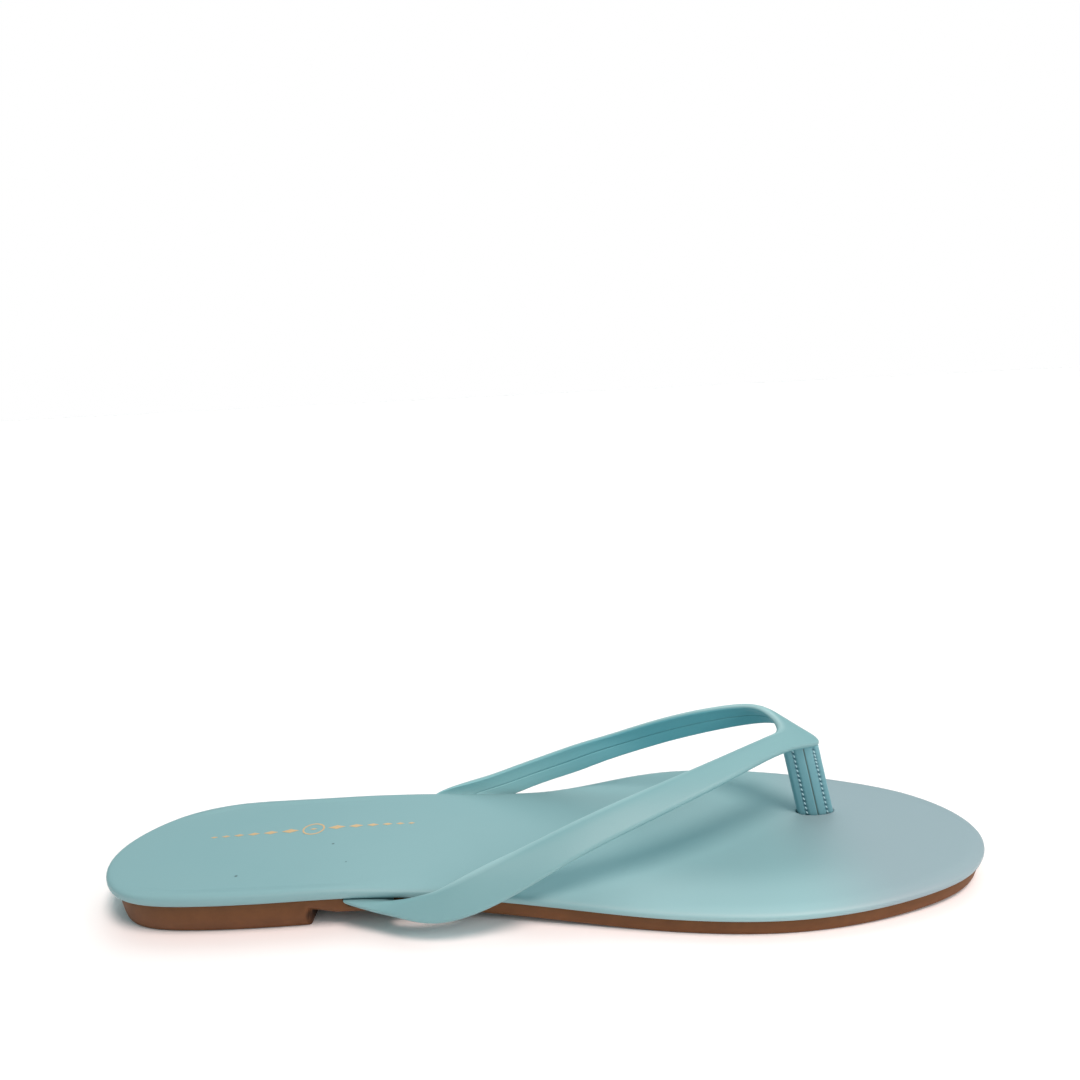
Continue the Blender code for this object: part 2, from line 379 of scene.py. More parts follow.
def slit_share(station, y, slit):
    """1 in the middle of a slit at the edge of the shoe, easing to 0 at its ends and inwards."""
    opening = smooth_step((station - slit["start"]) / SLIT_EASE)
    closing = smooth_step((slit["end"] - station) / SLIT_EASE)
    return opening * closing * smooth_step(1.0 - edge_distance(station, y, slit["side"]) / SLIT_REACH)


def post_half_thick(across):
    """Half the thickness of the toe post, which is fullest along its middle."""
    return POST_THICK / 2.0 + POST_BULGE * np.clip(1.0 - (2.0 * across / POST_WIDTH) ** 2, 0.0, None)


def roll_inset(station, side):
    """How far in from the edge the footbed starts to roll over; it sags further where a strap goes in."""
    sag = SLITS["sag_reach"][side] * np.exp(-((station - SLITS["sag"][side]) / SLIT_SAG_HALF) ** 2)
    return HEEL_ROLL + (BALL_ROLL - HEEL_ROLL) * waist_share(station) + sag


def roll_power(station):
    """How square the edge of the footbed is: below 1 it turns down sharply, at 1 it is round."""
    return HEEL_ROLL_POWER + (1.0 - HEEL_ROLL_POWER) * waist_share(station)


def heel_ridge(station, y):
    """Low ridge just inside the edge of the heel."""
    inside = inside_edge(station, y)
    start, full, fade, end = RIDGE_FADE
    share = smooth_step((station - start) / (full - start)) * smooth_step((end - station) / (end - fade))
    return RIDGE_HEIGHT * share * np.exp(-((inside - RIDGE_PLACE) / RIDGE_HALF) ** 2)


def pocket_depth(station, y):
    """How deep the footbed is drawn in round the foot of the toe post."""
    beside = np.abs(station - POST_FOOT[0]) - (POST_WIDTH / 2.0 - POST_CORNER)
    before = np.abs(y - POST_FOOT[1]) - (post_half_thick(station - POST_FOOT[0]) - POST_CORNER)
    outside = np.hypot(np.maximum(beside, 0.0), np.maximum(before, 0.0))
    gap = outside + np.minimum(np.maximum(beside, before), 0.0) - POST_CORNER - POCKET_GAP
    wall = POCKET_DEPTH * smooth_step(0.5 - gap / POCKET_LIP)
    pucker = PUCKER_DEPTH * np.exp(-(np.maximum(gap, 0.0) / PUCKER_REACH) ** 2)
    return wall + pucker


def footbed_top(station, y):
    """Upper side of the footbed inside its rolled edge."""
    return seam_height(station) + FOOTBED_THICK + heel_ridge(station, y) - pocket_depth(station, y)


def footbed_bottom(station, _):
    """Underside of the footbed, just above the seam."""
    return seam_height(station) + SEAM_GAP / 2.0


def sole_top(station, y):
    """Upper side of the outsole, just under the seam, with a dip where the strap goes in."""
    dip = sum(slit["dip"] * slit_share(station, y, slit) for slit in SLITS)
    return seam_height(station) - SEAM_GAP / 2.0 - dip


def sole_bottom(station, y):
    """Underside of the outsole: flat heel with rounded corners, arched waist, flat ball, toe spring."""
    inside = inside_edge(station, y)
    corner = np.clip(1.0 - (inside - SOLE_INSET_BOTTOM - HEEL_TAPER) / BREAST_CORNER, 0.0, 1.0)
    ahead = station + BREAST_CORNER * (1.0 - np.sqrt(1.0 - corner ** 2)) - BREAST_FOOT
    breast = np.clip(ahead / (BREAST_TOP - BREAST_FOOT), 0.0, 1.0)
    arch = 1.0 - smooth_step((station - BREAST_TOP) / (WAIST_END - BREAST_TOP))
    return WAIST_RISE * arch * breast + toe_lift(station)


def painted_edge_light_share(station, y):
    """Share of the painted light that lies paler along the outer edge of the ball."""
    near = (EDGE_LIGHT_REACH - edge_distance(station, y, 0)) / (EDGE_LIGHT_REACH - EDGE_LIGHT_FULL)
    return smooth_step(near) * smooth_step((station - EDGE_LIGHT_START) / EDGE_LIGHT_EASE)


def breast_shade_share(station, height):
    """How much painted shade lies on the heel's breast and in the corner above it, under the waist."""
    if height > WAIST_RISE + SOLE_EDGE_ROUND / 4.0:
        return 0.0
    ahead = smooth_step((station - BREAST_FOOT + BREAST_CORNER) / BREAST_CORNER)
    near = smooth_step((BREAST_TOP + BREAST_SHADE_REACH - station) / BREAST_SHADE_REACH)
    least, most = BREAST_SHADE_SHARES
    return ahead * near * (least + (most - least) * smooth_step(height / WAIST_RISE))


def finish_piece(name, bm, material, replaced=(), creased=False):
    """Turns millimetres along the shoe into metres of the frame, and puts the piece on its body."""
    bmesh.ops.translate(bm, vec=(HEEL_BACK, 0.0, 0.0), verts=bm.verts)
    bmesh.ops.scale(bm, vec=(MM, MM, MM), verts=bm.verts)
    mesh = bpy.data.meshes.new(name)
    bm.to_mesh(mesh)
    bm.free()
    mesh.shade_smooth()
    if creased:
        mesh.set_sharp_from_angle(angle=SHARP_ANGLE)
    mesh.materials.append(material)
    piece = bpy.data.objects.new(name, mesh)
    bpy.context.scene.collection.objects.link(piece)
    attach(piece, BODY)
    for node in replaced:
        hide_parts(node)
    return piece


def sole_stations(*closer):
    """Stations of the cross lines of a sole, close together at heel and toe and where asked."""
    turn = np.linspace(0.0, math.pi, OUTLINE_STEPS + 1)
    stations = [LENGTH / 2.0 * (1.0 - np.cos(turn))] + [np.arange(*span) for span in closer]
    return np.unique(np.concatenate(stations).round(3))


def cross_shares(columns, edge_share, edge_columns, *closer):
    """Places of the long lines of a sole from side to side, close together at its edges and where asked."""
    even = np.linspace(0.0, 1.0, columns + 1)
    margin = np.linspace(0.0, edge_share, edge_columns + 1)
    return np.unique(np.concatenate((even, margin, 1.0 - margin, *closer)).round(5))


def along_plan(height, plan):
    """Heights of a surface at the points of a plan."""
    return height(plan[:, :, 0], plan[:, :, 1])


def fill_between(bm, plan, shares, height, mark):
    """A grid of faces between the two sides of a ring, marked along its edge with the ring's places."""
    columns, rows = plan.shape[1] - 1, len(shares) - 1
    verts = bmesh.ops.create_grid(bm, x_segments=columns, y_segments=rows, size=1.0)["verts"]
    for vert in verts:
        column = round((vert.co.x + 1.0) / 2.0 * columns)
        row = round((vert.co.y + 1.0) / 2.0 * rows)
        vert[mark] = column + (columns + 1) * (row == rows)
        station, y = plan[0, column] * (1.0 - shares[row]) + plan[1, column] * shares[row]
        vert.co = (station, y, height(station, y))
    bmesh.ops.remove_doubles(bm, verts=verts, dist=MERGE_GRID)


def extend(bm, edges, mark, points):
    """Draws an open ring of edges on to the next points, and gives the new ring."""
    grown = bmesh.ops.extrude_edge_only(bm, edges=edges)["geom"]
    for vert in (item for item in grown if isinstance(item, bmesh.types.BMVert)):
        vert.co = points[vert[mark]]
    return [item for item in grown if isinstance(item, bmesh.types.BMEdge) and item.is_boundary]


def slab(shares, rings, top, bottom):
    """A closed slab over the shoe's outline; each ring is a plan and the heights along it."""
    bm = bmesh.new()
    mark = bm.verts.layers.int.new("place")
    fill_between(bm, rings[0][0], shares, top, mark)
    edges = [edge for edge in bm.edges if edge.is_boundary]
    for plan, height in rings[1:]:
        edges = extend(bm, edges, mark, np.column_stack((plan.reshape(-1, 2), height.reshape(-1))))
    fill_between(bm, rings[-1][0], shares, bottom, mark)
    bmesh.ops.remove_doubles(bm, verts=bm.verts, dist=MERGE_SLAB)
    bmesh.ops.recalc_face_normals(bm, faces=bm.faces)
    bm.verts.layers.int.remove(mark)
    return bm


def build_footbed(material):
    """Board and foam wrapped in leatherette: a flat top that rolls over its edge to the seam."""
    stations = sole_stations(
        (POST_FOOT[0] - POCKET_HALF_LENGTH, POST_FOOT[0] + POCKET_HALF_LENGTH, POCKET_STEP),
        (SLITS["start"].min() - SAG_BEFORE, SLITS["end"].max() + SAG_BEYOND, SAG_STEP),
    )
    points, normals = outline_edges(stations)
    over = np.array([roll_inset(stations, side) for side in (0, 1)])[:, :, None]
    power = roll_power(stations)[None, :, None]
    under = UNDER_ROLL + BACK_UNDER_ROLL * smooth_step(1.0 - stations / BACK_REACH)[None, :, None]
    low, high = (points - normals * over)[:, np.argmin(np.abs(stations - POST_FOOT[0])), 1]
    pocket = np.arange(-POCKET_HALF_WIDTH, POCKET_HALF_WIDTH, POCKET_STEP) + POST_FOOT[1]
    closer = (pocket - low) / (high - low)
    shares = cross_shares(FOOTBED_COLUMNS, FOOTBED_EDGE_SHARE, FOOTBED_EDGE_COLUMNS, closer)
    rings = []
    for turn in np.linspace(math.pi / 2.0, -math.pi / 2.0, ROLL_STEPS + 1):
        out, up = abs(math.cos(turn)), abs(math.sin(turn))
        if turn >= 0.0:
            plan = points - normals * over * (1.0 - out ** power)
            share = (up ** power)[:, :, 0]
        else:
            plan = points - normals * under * (1.0 - out ** UNDER_ROLL_POWER)
            share = -up ** UNDER_ROLL_POWER
        base = along_plan(footbed_bottom, plan)
        rise = along_plan(footbed_top, plan) - base
        rings.append((plan, base + rise * (1.0 + share) / 2.0))
    bm = slab(shares, rings, footbed_top, footbed_bottom)
    # Painted light: the outer edge of the ball is painted paler, as if lit more strongly.
    painted_edge_light = bm.verts.layers.float.new("painted_edge_light")
    for vert in bm.verts:
        vert[painted_edge_light] = painted_edge_light_share(vert.co.x, vert.co.y)
    piece = finish_piece("footbed_cover", bm, material, ["footbed"])


def build_outsole(material):
    """One moulded piece: thin forepart, arched waist and a low heel with a rounded breast."""
    stations = sole_stations(
        (BREAST_FOOT - BREAST_CORNER - BREAST_MARGIN, BREAST_TOP + BREAST_MARGIN, BREAST_STEP),
        (SLITS["start"].min() - SLIT_MARGIN, SLITS["end"].max() + SLIT_MARGIN, SLIT_STEP),
    )
    points, normals = outline_edges(stations)
    heel = smooth_step((HEEL_TAPER_END - stations) / HEEL_TAPER_FADE)[None, :, None]
    foot = SOLE_INSET_BOTTOM + HEEL_TAPER * heel
    head = SOLE_INSET_TOP + SOLE_INSET_BACK * smooth_step(1.0 - stations / BACK_REACH)[None, :, None]
    rings = []
    turns = np.linspace(0.0, math.pi / 2.0, SOLE_EDGE_STEPS + 1)
    for turn in turns:
        plan = points - normals * (head + SOLE_EDGE_ROUND * (1.0 - math.sin(turn)) / 2.0)
        drop = SOLE_EDGE_ROUND * (1.0 - math.cos(turn)) / 2.0
        rings.append((plan, along_plan(sole_top, plan) - drop))
    plan = points - normals * foot
    low = along_plan(sole_bottom, plan) + SOLE_EDGE_ROUND
    high = rings[-1][1]
    for share in WALL_SHARES:
        plan = points - normals * (head + (foot - head) * share ** WALL_POWER)
        rings.append((plan, high + (low - high) * share))
    for turn in turns:
        plan = points - normals * (foot + SOLE_EDGE_ROUND * (1.0 - math.cos(turn)))
        rise = SOLE_EDGE_ROUND * (1.0 - math.sin(turn))
        rings.append((plan, along_plan(sole_bottom, plan) + rise))
    shares = cross_shares(SOLE_COLUMNS, SOLE_EDGE_SHARE, SOLE_EDGE_COLUMNS)
    bm = slab(shares, rings, sole_top, sole_bottom)
    # Painted shade on the heel's breast and in the corner above it.
    painted_breast_shade = bm.verts.layers.float.new("painted_breast_shade")
    for vert in bm.verts:
        vert[painted_breast_shade] = breast_shade_share(vert.co.x, vert.co.z)
    finish_piece("outsole_moulded", bm, material, ["outsole"], creased=True)


def sweep(sections, marks):
    """Draws the first section along the others, closes both ends, and stores for every ring and place
    how much of each mark lies there: a seam, painted shade, painted light or a needle hole with painted
    shade."""
    bm = bmesh.new()
    place = bm.verts.layers.int.new("place")
    ring = bm.verts.layers.int.new("ring")
    verts = bmesh.ops.create_circle(bm, segments=len(sections[0]), radius=1.0)["verts"]
    for index, vert in enumerate(verts):
        vert[place] = index
        vert.co = sections[0][index]
    edges = list(bm.edges)
    ends = [edges]
    for count, points in enumerate(sections[1:], 1):
        edges = extend(bm, edges, place, points)
        for vert in {vert for edge in edges for vert in edge.verts}:
            vert[ring] = count
    ends.append(edges)
    for edges in ends:
        bmesh.ops.contextual_create(bm, geom=edges)
    bmesh.ops.recalc_face_normals(bm, faces=bm.faces)
    for name, values in marks.items():
        layer = bm.verts.layers.float.new(name)
        # A new layer moves the others, so they are looked up again.
        place, ring = bm.verts.layers.int["place"], bm.verts.layers.int["ring"]
        for vert in bm.verts:
            vert[layer] = values[vert[ring]][vert[place]]
    for name in ("place", "ring"):
        bm.verts.layers.int.remove(bm.verts.layers.int[name])
    return bm


def strap_edges():
    """Rim and front edge of the strap, as smooth curves through its sections."""
    middle = (STRAP["rim"] + STRAP["front"]) / 2.0
    chord = np.linalg.norm(np.diff(middle, axis=0), axis=1)
    knots = np.concatenate(((0.0,), np.cumsum(np.sqrt(chord))))
    steps = [np.linspace(a, b, STRAP_STEPS_PER_SECTION, endpoint=False) for a, b in zip(knots, knots[1:])]
    steps = np.concatenate(steps + [knots[-1:]])
    return spline(knots, STRAP["rim"], steps), spline(knots, STRAP["front"], steps)


def strap_profile(width, thick):
    """Section of the strap: distance from the rim and lift off the middle plane, and how much of the
    seam, of the painted shade underneath and of the painted highlight along the rim lies at each point."""
    edge = thick / 2.0
    middle = width / 2.0
    turn = np.linspace(0.0, math.pi, 2 * STRAP_EDGE_STEPS + 1)
    rim = np.column_stack((edge - edge * np.sin(turn), -edge * np.cos(turn)))
    front = np.column_stack((width - rim[::-1, 0], rim[::-1, 1]))
    face = np.linspace(edge, width - edge, STRAP_FACE_STEPS + 1)[1:-1]
    crown = STRAP_CROWN * (1.0 - ((face - middle) / (middle - edge)) ** 2)
    offset = np.array(STRAP_UNDERSIDE)
    groove = np.clip(1.0 - np.abs(offset) / STRAP_SEAM_HALF, 0.0, None) ** STRAP_SEAM_POWER
    under = np.column_stack((middle - offset, STRAP_SEAM_DEPTH * groove * thick / STRAP_THICK - edge))
    outline = np.concatenate((rim, np.column_stack((face, edge + crown)), front, under))
    seam = np.concatenate((np.zeros(len(outline) - len(groove)), groove))
    # Painted shade on the underside of the strap, which faces away from the lamps.
    underside_painted_shade = smooth_step(-outline[:, 1] / edge)
    # Painted highlight along the rim, where the rounded edge catches the light.
    painted_rim_highlight = smooth_step(1.0 - outline[:, 0] / RIM_HIGHLIGHT_REACH) * smooth_step(RIM_HIGHLIGHT_LIFT + outline[:, 1] / edge)
    outline[:, 1] -= STRAP_RIM_BEND * np.clip(1.0 - outline[:, 0] / STRAP_RIM_REACH, 0.0, 1.0) ** 2
    return outline, {"seam": seam, "underside_painted_shade": underside_painted_shade, "painted_end_light": underside_painted_shade, "painted_rim_highlight": painted_rim_highlight}


def build_strap(material):
    """The V strap: a band folded round its filler, its two edges meeting in a seam underneath, and its
    ends skived thin where they go in between footbed and outsole."""
    rim, front = strap_edges()
    rim_along = np.gradient(rim, axis=0)
    front_along = np.gradient(front, axis=0)
    steps = np.linalg.norm(np.diff((rim + front) / 2.0, axis=0), axis=1)
    along = np.concatenate(((0.0,), np.cumsum(steps)))
    whole = smooth_step(np.minimum(along, along[-1] - along) / SKIVE_LENGTH)
    thick = SKIVE_THICK + (STRAP_THICK - SKIVE_THICK) * whole
    first, last = UNDERSIDE_FADE
    shown = smooth_step((np.minimum(along, along[-1] - along) - first) / (last - first))
    # Painted light under the strap lies towards its skived ends, where the seam fades out.
    fade = {"seam": shown, "underside_painted_shade": np.ones_like(shown), "painted_end_light": 1.0 - shown, "painted_rim_highlight": whole}
    sections = []
    marks = {name: [] for name in fade}
    for i in range(len(rim)):
        width = np.linalg.norm(front[i] - rim[i])
        across = (front[i] - rim[i]) / width
        outline, shares = strap_profile(width, thick[i])
        for name, share in shares.items():
            marks[name].append(share * fade[name][i])
        share = outline[:, :1] / width
        normal = np.cross(across, rim_along[i] + (front_along[i] - rim_along[i]) * share)
        normal = normal / np.linalg.norm(normal, axis=1)[:, None]
        sections.append(rim[i] + across * outline[:, :1] + normal * outline[:, 1:])
    finish_piece("v_strap", sweep(sections, marks), material, ["upper"])


def post_profile():
    """Section of the toe post round its middle: across, through, and share of the centre seam."""
    half_width = POST_WIDTH / 2.0
    face = np.linspace(POST_CORNER - half_width, half_width - POST_CORNER, POST_FACE_STEPS + 1)
    seam = np.clip(1.0 - np.abs(face - POST_SEAM_OFFSET) / POST_SEAM_HALF, 0.0, 1.0)
    valley = np.zeros_like(face)
    for row in STITCH_ROWS:
        valley += smooth_step(1.0 - np.abs(face - row) / STITCH_VALLEY_HALF)
    through = post_half_thick(face) - POST_SEAM_DEPTH * seam - STITCH_VALLEY * valley
    half_thick = through[0]
    turn = np.linspace(0.0, math.pi / 2.0, POST_CORNER_STEPS + 1)[1:-1]
    round_x = half_width - POST_CORNER + POST_CORNER * np.sin(turn)
    round_y = half_thick - POST_CORNER + POST_CORNER * np.cos(turn)
    plain = np.zeros_like(turn)
    parts = [
        (face, through, seam),
        (round_x, round_y, plain),
        (round_x[::-1], -round_y[::-1], plain),
        (face[::-1], -through[::-1], seam[::-1]),
        (-round_x, -round_y, plain),
        (-round_x[::-1], round_y[::-1], plain),
    ]
    return np.concatenate([np.column_stack(part) for part in parts])


def post_point(across, through, height):
    """A point of the post at a height on its axis; towards the head its sections tilt with the strap."""
    lean = (POST_HEAD - POST_FOOT) / (POST_HEAD[2] - POST_FOOT[2])
    tilt = smooth_step((height - POST_SLOPE_START) / (POST_TOP - POST_SLOPE_START))
    rise = tilt * (across * POST_HEAD_SLOPE[0] + through * POST_HEAD_SLOPE[1])
    place = POST_FOOT + np.outer(height + rise - POST_FOOT[2], lean)
    place[:, 0] += across
    place[:, 1] += through
    return place


def stitch_heights():
    """Heights of the needle holes along a row of stitches."""
    return np.arange(POST_FOOT[2] - STITCH_BELOW_FOOT, POST_TOP - STITCH_BELOW_TOP, STITCH_PITCH)


def build_post(material):
    """The folded strip of the toe post, drawn in along its stitches and its centre seam."""
    profile = post_profile()
    heights = np.linspace(POST_FOOT[2] - POST_SUNK, POST_TOP, POST_RINGS)
    sections = []
    holes = []
    for height in heights:
        near = [
            np.exp(-((profile[:, 0] - row) ** 2 + (height - hole) ** 2) / NEEDLE_HOLE ** 2)
            for row in STITCH_ROWS for hole in stitch_heights()
        ]
        holes.append(np.sum(near, axis=0))
        through = profile[:, 1] * (1.0 - NEEDLE_DRAW * holes[-1])
        sections.append(post_point(profile[:, 0], through, height))
    # The needle holes are drawn in a little and carry painted shade.
    bm = sweep(sections, {"seam": [profile[:, 2]] * len(heights), "needle_hole_shade": holes})
    finish_piece("post_strip", bm, material, ["toe_post"])


def build_stitches(material):
    """Two rows of lockstitches on both faces of the toe post."""
    bm = bmesh.new()
    size = (STITCH_THICK / 2.0, STITCH_THICK / 2.0, STITCH_LENGTH / 2.0)
    lean = Vector(POST_HEAD - POST_FOOT).normalized()
    stand = Vector((0.0, 0.0, 1.0)).rotation_difference(lean).to_matrix().to_4x4()
    for face in (-1.0, 1.0):
        for row in STITCH_ROWS:
            for height in stitch_heights()[:-1] + STITCH_PITCH / 2.0:
                through = face * (post_half_thick(row) - STITCH_VALLEY * STITCH_SUNK)
                place = post_point(np.array((row,)), np.array((through,)), height)[0]
                slant = Matrix.Rotation(math.radians(STITCH_SLANT * face), 4, "Y")
                shape = Matrix.Translation(place) @ stand @ slant @ Matrix.Diagonal((*size, 1.0))
                bmesh.ops.create_icosphere(bm, subdivisions=2, radius=1.0, matrix=shape)
    finish_piece("post_stitches", bm, material)


def build_foil(material):
    """Thin gold foil on the heel: a ring with a row of lozenges tapering away on each side."""
    bm = bmesh.new()
    ring = bmesh.ops.create_circle(bm, segments=FOIL_RING_SIDES, radius=FOIL_RING)["verts"]
    rim = list({edge for vert in ring for edge in vert.link_edges})
    grown = bmesh.ops.extrude_edge_only(bm, edges=rim)["geom"]
    inner = [item for item in grown if isinstance(item, bmesh.types.BMVert)]
    bmesh.ops.scale(bm, vec=(1.0 - FOIL_RING_LINE / FOIL_RING,) * 3, verts=inner)
    sizes = [(FOIL_FIRST[0] * FOIL_SHRINK ** step, FOIL_FIRST[1] * FOIL_SHRINK ** step)
             for step in range(FOIL_LOZENGES)]
    places = [(0.0, sizes[-1])]
    reach = FOIL_RING
    for size in sizes:
        reach += FOIL_SPACE + size[0] / 2.0
        places += [(reach, size), (-reach, size)]
        reach += size[0] / 2.0
    for place, (length, width) in places:
        lozenge = Matrix.Diagonal((length / 2.0, width / 2.0, 1.0, 1.0))
        shape = Matrix.Translation((place, 0.0, 0.0)) @ lozenge
        bmesh.ops.create_circle(bm, cap_ends=True, segments=4, radius=1.0, matrix=shape)
    bmesh.ops.recalc_face_normals(bm, faces=bm.faces)
    bmesh.ops.solidify(bm, geom=bm.faces[:], thickness=FOIL_THICK)
    base = min(vert.co.z for vert in bm.verts)
    bmesh.ops.rotate(bm, cent=(0.0, 0.0, 0.0), matrix=Matrix.Rotation(math.radians(FOIL_TURN), 3, "Z"),
                     verts=bm.verts)
    bmesh.ops.translate(bm, vec=(*FOIL_CENTRE, -base), verts=bm.verts)
    for vert in bm.verts:
        vert.co.z += footbed_top(vert.co.x, vert.co.y)
    bmesh.ops.recalc_face_normals(bm, faces=bm.faces)
    finish_piece("heel_foil", bm, material, creased=True)


def linear(code):
    """A hex sRGB colour as linear red, green, blue and alpha."""
    parts = np.array([int(code[i:i + 2], 16) for i in (1, 3, 5)]) / 255.0
    parts = np.where(parts <= 0.04045, parts / 12.92, ((parts + 0.055) / 1.055) ** 2.4)
    return (*parts, 1.0)


def new_material(name):
    """A material with its node tree and its shader."""
    material = bpy.data.materials.new(name)
    material.use_nodes = True
    return material, material.node_tree, material.node_tree.nodes["Principled BSDF"]


def add(tree, kind, inputs=(), **settings):
    """Adds a node with its settings; an input is a value or the socket that feeds it."""
    made = tree.nodes.new(kind)
    for name, value in settings.items():
        setattr(made, name, value)
    for name, value in dict(inputs).items():
        if isinstance(value, bpy.types.NodeSocket):
            tree.links.new(value, made.inputs[name])
        else:
            made.inputs[name].default_value = value
    return made


def per_mm(size):
    """Scale of a pattern whose features are this many millimetres across."""
    return 1.0 / (size * MM)


def paint_marks(tree, tint, colours):
    """Blends a colour into the tint wherever the mesh is marked with it, such as a seam, painted shade or
    painted light.
    """
    for mark, colour in colours.items():
        share = add(tree, "ShaderNodeAttribute", attribute_name=mark)
        painted = add(tree, "ShaderNodeMix", {
            "Factor": share.outputs["Fac"], "A": tint, "B": linear(colour)}, data_type="RGBA")
        tint = painted.outputs["Result"]
    return tint


def leatherette(name, body, shade, gloss):
    """Polyurethane leatherette, embossed and satin: an even colour with a faint cloudiness,
    a fine pebbled grain that breaks up the gloss, and soft broad highlights."""
    material, tree, shader = new_material(name)
    place = add(tree, "ShaderNodeTexCoord").outputs["Object"]
    cloud = add(tree, "ShaderNodeTexNoise", {"Vector": place, "Scale": per_mm(CLOUD_SIZE), "Detail": 3.0})
    tint = add(tree, "ShaderNodeMix", {
        "Factor": cloud.outputs["Fac"], "A": linear(body), "B": linear(shade)}, data_type="RGBA")
    # The pores are about 0.3 mm apart on such a film; they are drawn at 0.7 mm so that they show.
    grain = add(tree, "ShaderNodeTexVoronoi", {"Vector": place, "Scale": per_mm(PORE_SPACING)})
    fine = add(tree, "ShaderNodeTexNoise", {"Vector": place, "Scale": per_mm(FINE_GRAIN), "Detail": 2.0})
    relief = add(tree, "ShaderNodeMath", {
        0: grain.outputs["Distance"], 1: fine.outputs["Fac"]}, operation="ADD")
    bump = add(tree, "ShaderNodeBump", {
        "Height": relief.outputs[0], "Strength": 0.12, "Distance": GRAIN_DEPTH * MM})
    rough = add(tree, "ShaderNodeMapRange", {
        "Value": cloud.outputs["Fac"], "To Min": gloss + GLOSS_RANGE[0], "To Max": gloss + GLOSS_RANGE[1]})
    tree.links.new(rough.outputs["Result"], shader.inputs["Roughness"])
    tree.links.new(bump.outputs["Normal"], shader.inputs["Normal"])
    shader.inputs["IOR"].default_value = 1.55
    return material, tree, shader, tint.outputs["Result"], place


def footbed_leatherette():
    """The cover of the footbed: painted light lies paler along the outer edge of the ball, the cover turns
    greyer towards the toe, and there are a few dark specks of dirt."""
    material, tree, shader, tint, place = leatherette(
        "embossed_leatherette_footbed", "#81a5a8", "#7ba2a6", 0.46)
    # Painted light along the outer edge of the ball.
    tint = paint_marks(tree, tint, {"painted_edge_light": "#8eb2b5"})
    station = add(tree, "ShaderNodeSeparateXYZ", {"Vector": place}).outputs["X"]
    # The cover turns greyer towards the toe.
    toe_grey_share = add(tree, "ShaderNodeMapRange", {
        "Value": station,
        "From Min": (TOE_GREY_START + HEEL_BACK) * MM,
        "From Max": (TOE_GREY_END + HEEL_BACK) * MM,
    }, interpolation_type="SMOOTHSTEP")
    greyer = add(tree, "ShaderNodeMix", {
        "Factor": toe_grey_share.outputs["Result"], "A": tint, "B": linear("#8a9da3")}, data_type="RGBA")
    tint = greyer.outputs["Result"]
    for along, y, radius in SPECKS:
        centre = ((along + HEEL_BACK) * MM, y * MM, (HEEL_SEAM_HEIGHT + FOOTBED_THICK) * MM)
        away = add(tree, "ShaderNodeVectorMath", {0: place, 1: centre}, operation="DISTANCE")
        speck = add(tree, "ShaderNodeMapRange", {
            "Value": away.outputs["Value"],
            "From Min": radius * MM,
            "From Max": SPECK_CORE * radius * MM,
            "To Max": SPECK_SHADE,
        })
        dirty = add(tree, "ShaderNodeMix", {
            "Factor": speck.outputs["Result"], "A": tint, "B": linear("#2f4a4c")}, data_type="RGBA")
        tint = dirty.outputs["Result"]
    tree.links.new(tint, shader.inputs["Base Color"])
    return material


def strap_leatherette():
    """The cover of the strap: the same film, with painted shade underneath, painted light on the underside
    at its skived ends, and a painted highlight along the rim, where the rounded edge catches the light."""
    material, tree, shader, tint, _ = leatherette("folded_leatherette_strap", "#7aa2a5", "#749fa3", 0.5)
    # Painted highlight along the rim, painted shade underneath, painted light under the skived ends, and the
    # dark seam.
    tint = paint_marks(tree, tint, {
        "painted_rim_highlight": "#9abec0", "underside_painted_shade": "#5fa7b2", "painted_end_light": "#9ccdd0", "seam": "#4a8e98"})
    tree.links.new(tint, shader.inputs["Base Color"])
    return material


def post_leatherette():
    """The cover of the toe post: painted shade in its needle holes, and dark along its closed seam."""
    material, tree, shader, tint, _ = leatherette("stitched_leatherette_post", "#75a6ae", "#6fa3ac", 0.46)
    # Painted shade in the needle holes, and the dark closed seam.
    tint = paint_marks(tree, tint, {"needle_hole_shade": "#1f5060", "seam": "#4a4a38"})
    tree.links.new(tint, shader.inputs["Base Color"])
    return material


def rubber():
    """Thermoplastic rubber, moulded: matte brown with a faint mottle and a dry, slightly rough skin, with
    painted shade on the heel's breast and in the corner above it, under the waist."""
    material, tree, shader = new_material("moulded_brown_rubber")
    place = add(tree, "ShaderNodeTexCoord").outputs["Object"]
    cloud = add(tree, "ShaderNodeTexNoise", {
        "Vector": place, "Scale": per_mm(MOTTLE_SIZE), "Detail": 5.0, "Roughness": 0.65})
    mottle = add(tree, "ShaderNodeMix", {
        "Factor": cloud.outputs["Fac"], "A": linear("#5c3516"), "B": linear("#794c28")}, data_type="RGBA")
    # Painted shade on the heel's breast and in the corner above it.
    tint = paint_marks(tree, mottle.outputs["Result"], {"painted_breast_shade": "#1f1009"})
    skin = add(tree, "ShaderNodeTexNoise", {"Vector": place, "Scale": per_mm(SKIN_GRAIN), "Detail": 2.0})
    bump = add(tree, "ShaderNodeBump", {
        "Height": skin.outputs["Fac"], "Strength": 0.15, "Distance": SKIN_DEPTH * MM})
    tree.links.new(tint, shader.inputs["Base Color"])
    tree.links.new(bump.outputs["Normal"], shader.inputs["Normal"])
    shader.inputs["Roughness"].default_value = 0.68
    shader.inputs["IOR"].default_value = 1.4
    return material


def foil():
    """Gold foil, hot stamped: a thin warm metal skin with a slightly rubbed gloss."""
    material, _, shader = new_material("stamped_gold_foil")
    shader.inputs["Base Color"].default_value = linear("#d8b084")
    shader.inputs["Metallic"].default_value = 0.4
    shader.inputs["Roughness"].default_value = 0.45
    return material


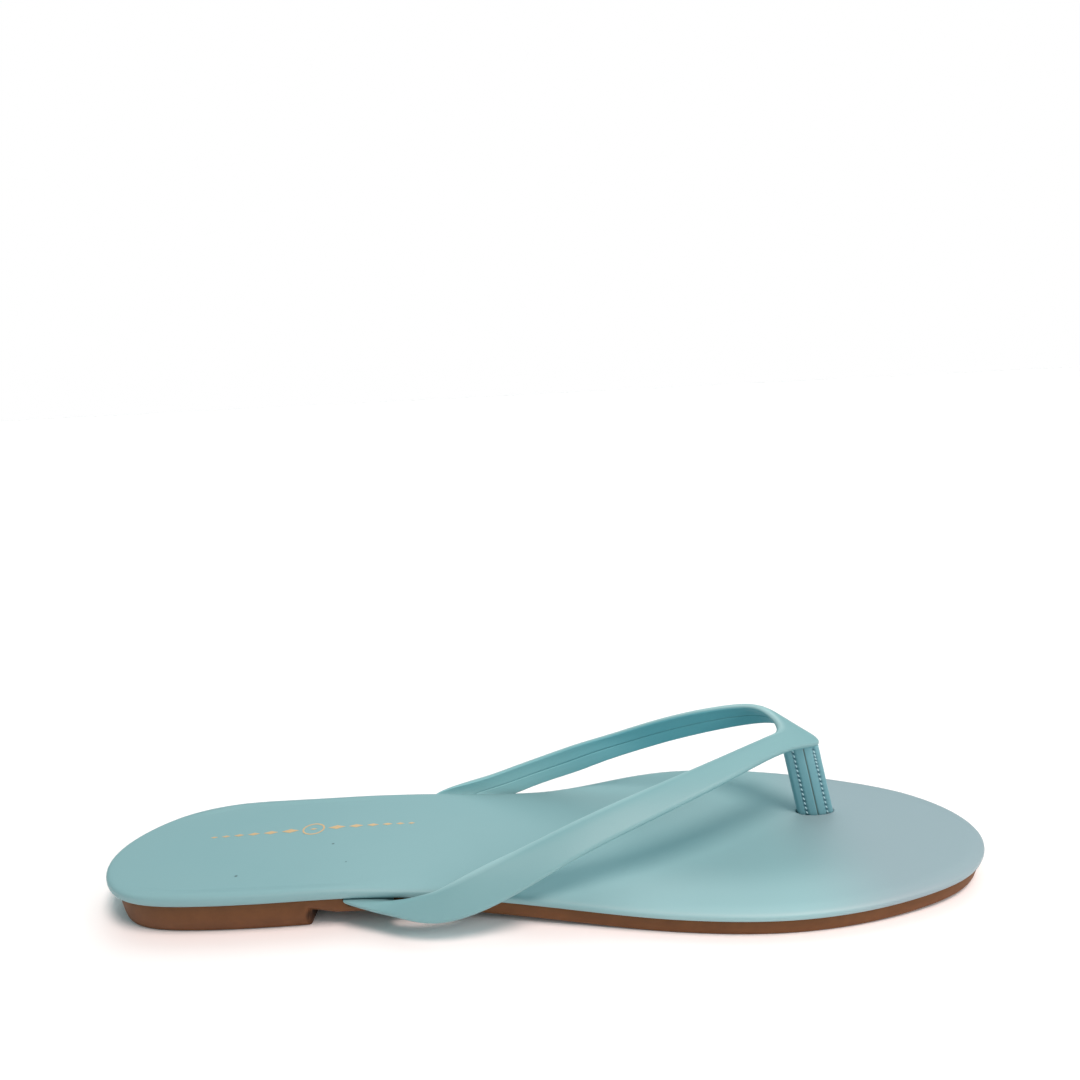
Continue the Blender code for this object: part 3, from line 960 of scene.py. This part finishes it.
def thread():
    """Polyester sewing thread, twisted: paler than the leatherette, with a soft sheen."""
    material, _, shader = new_material("twisted_polyester_thread")
    shader.inputs["Base Color"].default_value = linear("#a6c8ce")
    shader.inputs["Roughness"].default_value = 0.5
    return material


def make_camera():
    """The camera at the photograph's viewing angle."""
    data = bpy.data.cameras.new("camera")
    data.lens = CAMERA_LENS
    data.sensor_width = CAMERA_SENSOR
    data.clip_start = CAMERA_CLIP_START * MM
    camera = bpy.data.objects.new("camera", data)
    camera.location = [value * MM for value in CAMERA_PLACE]
    camera.rotation_euler = [math.radians(value) for value in CAMERA_TURN]
    bpy.context.scene.collection.objects.link(camera)
    bpy.context.scene.camera = camera


def hang(name, light, place, power, colour):
    """Puts a lamp at a place, looking at the shoe."""
    light.energy = power
    light.color = linear(colour)[:3]
    lamp = bpy.data.objects.new(name, light)
    lamp.location = place
    lamp.rotation_euler = Vector(place).to_track_quat("Z", "Y").to_euler()
    bpy.context.scene.collection.objects.link(lamp)


def sun(name, towards, spread, power, colour):
    """An even light from one direction, softened by its spread."""
    light = bpy.data.lights.new(name, "SUN")
    light.angle = math.radians(spread)
    hang(name, light, towards, power, colour)


def softbox(name, place, size, power, colour):
    """A square lamp close to the shoe, which lights its near end more than its far end."""
    light = bpy.data.lights.new(name, "AREA")
    light.size = size
    hang(name, light, place, power, colour)


def make_studio():
    """A white paper floor under soft lamps, in a pale surround that the camera sees as white."""
    scene = bpy.context.scene
    scene.view_settings.view_transform = "Standard"
    sun("key", *KEY_LIGHT)
    sun("back", *BACK_LIGHT)
    softbox("ball_lamp", *BALL_LAMP)

    world = bpy.data.worlds.new("surround")
    world.use_nodes = True
    tree = world.node_tree
    seen = add(tree, "ShaderNodeLightPath").outputs["Is Camera Ray"]
    fill = [value * SKY_LIGHT for value in linear(SKY_COLOUR)]
    colour = add(tree, "ShaderNodeMix", {
        "Factor": seen, "A": fill, "B": linear("#ffffff")}, data_type="RGBA")
    tree.links.new(colour.outputs["Result"], tree.nodes["Background"].inputs["Color"])
    scene.world = world

    bm = bmesh.new()
    bmesh.ops.create_grid(bm, x_segments=1, y_segments=1, size=FLOOR_HALF)
    mesh = bpy.data.meshes.new("floor")
    bm.to_mesh(mesh)
    bm.free()
    paper, _, shader = new_material("matte_white_paper")
    shader.inputs["Base Color"].default_value = linear("#fffbfa")
    shader.inputs["Roughness"].default_value = 0.9
    mesh.materials.append(paper)
    floor = bpy.data.objects.new("floor", mesh)
    scene.collection.objects.link(floor)


make_camera()
make_studio()
build_outsole(rubber())
build_footbed(footbed_leatherette())
build_strap(strap_leatherette())
build_post(post_leatherette())
build_stitches(thread())
build_foil(foil())
